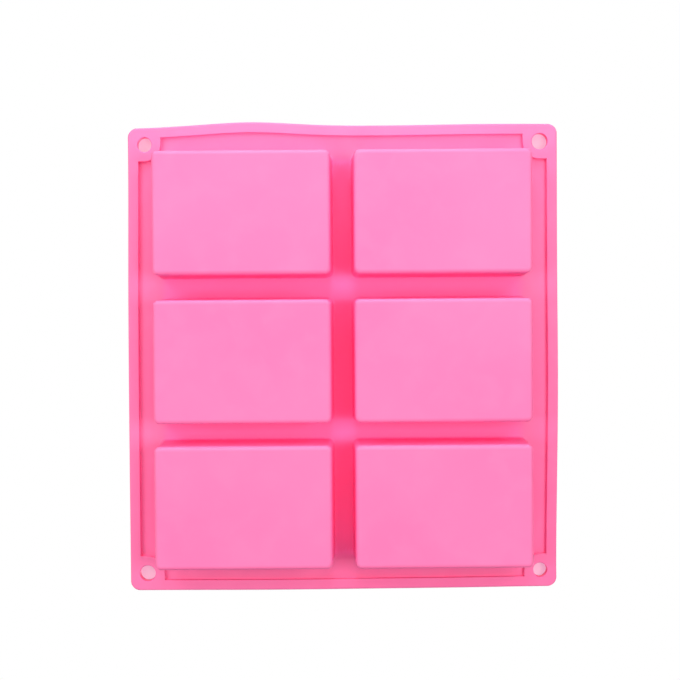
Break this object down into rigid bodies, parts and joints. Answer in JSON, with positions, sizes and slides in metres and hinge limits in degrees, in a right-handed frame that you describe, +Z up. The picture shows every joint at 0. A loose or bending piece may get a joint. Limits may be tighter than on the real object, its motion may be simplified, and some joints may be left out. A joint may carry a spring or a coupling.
{
  "type": "silicone soap mould",
  "caption": "Flexible tray mould with rectangular bar cavities hanging from a thin deck, a thicker rim band and a hanging hole in each corner.",
  "frame": {"origin": "centre of the footprint, on the plane that the cups' undersides rest on", "axes": "+Z up, out of the cavity mouths; +Y along the long side, over the rows; +X along the short side, over the columns"},
  "size_m": [0.2064, 0.223, 0.027],
  "materials": {
    "silicone": "satin, softly matt moulded silicone"
  },
  "bodies": {
    "root": {"deck_web": "silicone", "cup_left_front": "silicone", "cup_left_middle": "silicone", "cup_left_back": "silicone", "cup_right_front": "silicone", "cup_right_middle": "silicone", "cup_right_back": "silicone", "corner_pad_left_front": "silicone", "corner_pad_left_back": "silicone", "corner_pad_right_front": "silicone", "corner_pad_right_back": "silicone", "rim_front": "silicone", "rim_back": "silicone", "rim_left": "silicone", "rim_right": "silicone"}
  },
  "joints": []
}
